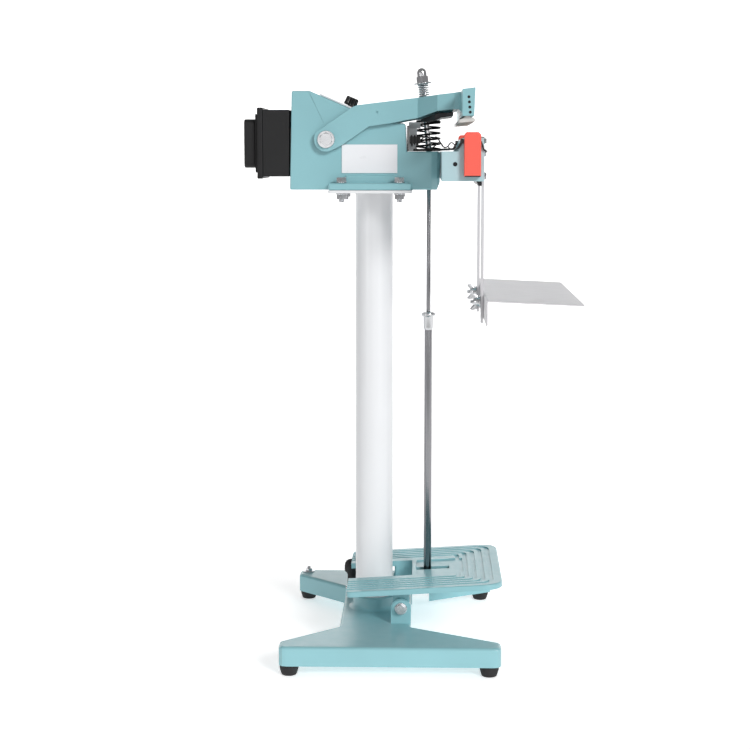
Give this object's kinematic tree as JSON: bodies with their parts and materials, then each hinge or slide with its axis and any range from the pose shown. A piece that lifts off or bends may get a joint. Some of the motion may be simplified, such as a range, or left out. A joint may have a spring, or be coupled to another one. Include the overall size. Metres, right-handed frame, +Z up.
{
  "type": "impulse heat sealer",
  "caption": "Free-standing pedal-operated impulse heat sealer: bow-tie base, column, hinged pressing arm over a long jaw, adjustable shelf.",
  "frame": {"origin": "on the floor, under the middle of the whole machine", "axes": "+Z up, +X towards the operator (shelf and pedal side), +Y to the operator's right"},
  "size_m": [0.466, 0.442, 0.8236],
  "materials": {
    "teal_paint": "satin powder coat on casting",
    "pale_teal_paint": "satin powder coat on sheet",
    "white_paint": "gloss powder coat",
    "shelf_paint": "satin powder coat",
    "plate_white": "semi-gloss",
    "black_plastic": "moulded, fine texture",
    "red_plastic": "moulded insulating plastic",
    "red_lens": "clear red",
    "zinc": "zinc plated",
    "chrome": "polished",
    "aluminium": "mill finish",
    "black_steel": "blackened spring steel",
    "core_steel": "laminated",
    "coil_copper": "enamelled copper winding",
    "nichrome": "ribbon",
    "board": "circuit board",
    "silicone": "matte silicone",
    "rubber": "matte",
    "black_cable": "insulated wire",
    "ptfe_cloth": "PTFE coated glass cloth"
  },
  "bodies": {
    "root": {"base_casting": "teal_paint", "base_stud": "zinc", "column": "white_paint", "column_top_plate": "white_paint", "body_casting": "teal_paint", "name_plate": "plate_white", "transformer_cover": "black_plastic", "cover_flange": "black_plastic", "rear_cap": "black_plastic", "transformer_core": "core_steel", "transformer_coil": "coil_copper", "control_panel": "plate_white", "pilot_lamp": "red_lens", "timer_board": "board", "cable_gland": "black_plastic", "arm_pivot_bolt": "zinc", "lower_jaw": "pale_teal_paint", "heating_element": "nichrome", "ptfe_cover": "ptfe_cloth", "ptfe_clamp_bar": "aluminium", "return_spring": "black_steel", "pedal_bumper": "rubber", "switch_bracket": "plate_white", "microswitch": "black_plastic", "strip_brace": "black_steel", "foot_rear_left": "rubber", "head_bolt_rear_left": "zinc", "foot_rear_right": "rubber", "head_bolt_rear_right": "zinc", "foot_front_left": "rubber", "head_bolt_front_left": "zinc", "foot_front_right": "rubber", "head_bolt_front_right": "zinc", "end_block_left": "red_plastic", "element_lead_left": "black_cable", "pedal_bolt_left": "zinc", "shelf_strip_left": "shelf_paint", "end_block_right": "red_plastic", "element_lead_right": "black_cable", "pedal_bolt_right": "zinc", "shelf_strip_right": "shelf_paint"},
    "arm": {"arm": "teal_paint", "spring_plate": "black_steel", "silicone_pad": "silicone", "arm_stud": "chrome", "pressure_spring": "chrome", "spring_washer": "zinc", "dome_nut": "chrome"},
    "pull_rod": {"rod_clevis": "zinc", "pull_rod": "chrome", "rod_ferrule": "zinc", "rod_tube": "chrome"},
    "pedal": {"pedal": "teal_paint", "rod_pin": "zinc"},
    "timer_knob": {"timer_knob": "black_plastic"},
    "shelf": {"shelf": "shelf_paint", "shelf_bolt_left": "zinc", "shelf_bolt_right": "zinc"},
    "wing_nut_left": {"wing_nut_left": "zinc"},
    "wing_nut_right": {"wing_nut_right": "zinc"}
  },
  "joints": [
    {"name": "pedal_press", "type": "hinge", "parent": "root", "child": "pedal", "pos_m": [-0.0105, 0, 0.064], "axis": [0, 1, 0], "range_deg": [0, 17.7], "stiffness_Nm_per_rad": 9, "springref_deg": -22.92},
    {"name": "rod_travel", "type": "slide", "parent": "root", "child": "pull_rod", "axis": [0, 0, -1], "range_m": [0, 0.01205]},
    {"name": "arm_press", "type": "hinge", "parent": "root", "child": "arm", "pos_m": [-0.116, 0, 0.7226], "axis": [0, 1, 0], "range_deg": [0, 4.82], "deforming": ["return_spring"]},
    {"name": "timer_turn", "type": "hinge", "parent": "root", "child": "timer_knob", "pos_m": [-0.08731, 0, 0.76709], "axis": [0.3967, 0, 0.918], "range_deg": [-135, 135]},
    {"name": "shelf_height", "type": "slide", "parent": "root", "child": "shelf", "axis": [0, 0, 1], "range_m": [-0.01, 0.14]},
    {"name": "wing_nut_left_turn", "type": "hinge", "parent": "shelf", "child": "wing_nut_left", "pos_m": [0.095, -0.088, 0.499], "axis": [1, 0, 0], "continuous": true},
    {"name": "wing_nut_right_turn", "type": "hinge", "parent": "shelf", "child": "wing_nut_right", "pos_m": [0.095, 0.088, 0.499], "axis": [1, 0, 0], "continuous": true}
  ],
  "couplings": [
    {"joint": "rod_travel", "follows": "pedal_press", "m_per_rad": 0.038845},
    {"joint": "arm_press", "follows": "pedal_press", "ratio": 0.27119}
  ]
}
